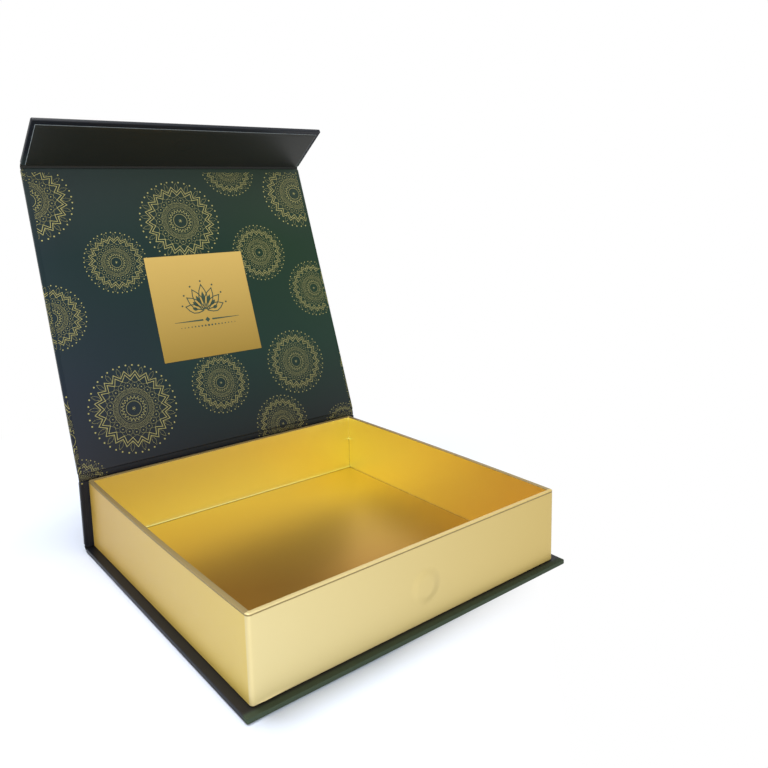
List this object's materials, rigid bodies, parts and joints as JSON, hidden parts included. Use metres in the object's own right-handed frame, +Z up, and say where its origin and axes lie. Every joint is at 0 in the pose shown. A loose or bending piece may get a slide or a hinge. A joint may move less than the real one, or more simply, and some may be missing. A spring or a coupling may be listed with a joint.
{
  "type": "magnetic gift box",
  "caption": "Square rigid gift box: gold-papered tray in a wrapped board case with a hinged lid, whose front flap holds shut by a hidden disc magnet.",
  "frame": {"origin": "on the surface the box stands on, under the middle of the tray", "axes": "+Z up, -Y towards the front wall where the flap closes, +Y towards the spine and the lid hinge, X along the hinge"},
  "size_m": [0.213, 0.2792, 0.2695],
  "materials": {
    "greyboard": "matte",
    "printed_paper": "satin",
    "dark_lining": "satin",
    "gold_paper": "satin",
    "gold_foil": "satin",
    "kraft_tape": "matte",
    "magnet": "satin"
  },
  "bodies": {
    "tray_and_base": {"base_board": "greyboard", "base_wrap": "printed_paper", "base_fold_strip": "printed_paper", "spine_board": "greyboard", "spine_wrap": "printed_paper", "spine_liner": "printed_paper", "tray_floor_board": "greyboard", "tray_front_board": "greyboard", "tray_back_board": "greyboard", "tray_left_board": "greyboard", "tray_right_board": "greyboard", "tray_stay_front_left": "kraft_tape", "tray_stay_front_right": "kraft_tape", "tray_stay_back_left": "kraft_tape", "tray_stay_back_right": "kraft_tape", "tray_wrap": "gold_paper", "tray_front_liner": "gold_paper", "tray_back_liner": "gold_paper", "tray_left_liner": "gold_paper", "tray_right_liner": "gold_paper", "tray_floor_liner": "gold_paper", "tray_magnet": "magnet"},
    "lid": {"lid_board": "greyboard", "lid_wrap": "printed_paper", "lid_liner": "printed_paper", "lid_hinge_strip": "printed_paper", "lid_outer_panel": "gold_foil", "lid_inner_panel": "gold_foil", "flap_hinge_strip": "dark_lining"},
    "flap": {"flap_board": "greyboard", "flap_wrap": "printed_paper", "flap_liner": "dark_lining", "flap_magnet": "magnet"}
  },
  "joints": [
    {"name": "lid_hinge", "type": "hinge", "parent": "tray_and_base", "child": "lid", "pos_m": [0, 0.10297, 0.04788], "axis": [-1, 0, 0], "range_deg": [-109.6, 70.4]},
    {"name": "flap_hinge", "type": "hinge", "parent": "lid", "child": "flap", "pos_m": [0, 0.17216, 0.24217], "axis": [1, 0, 0], "range_deg": [-72.9, 17.1]}
  ]
}
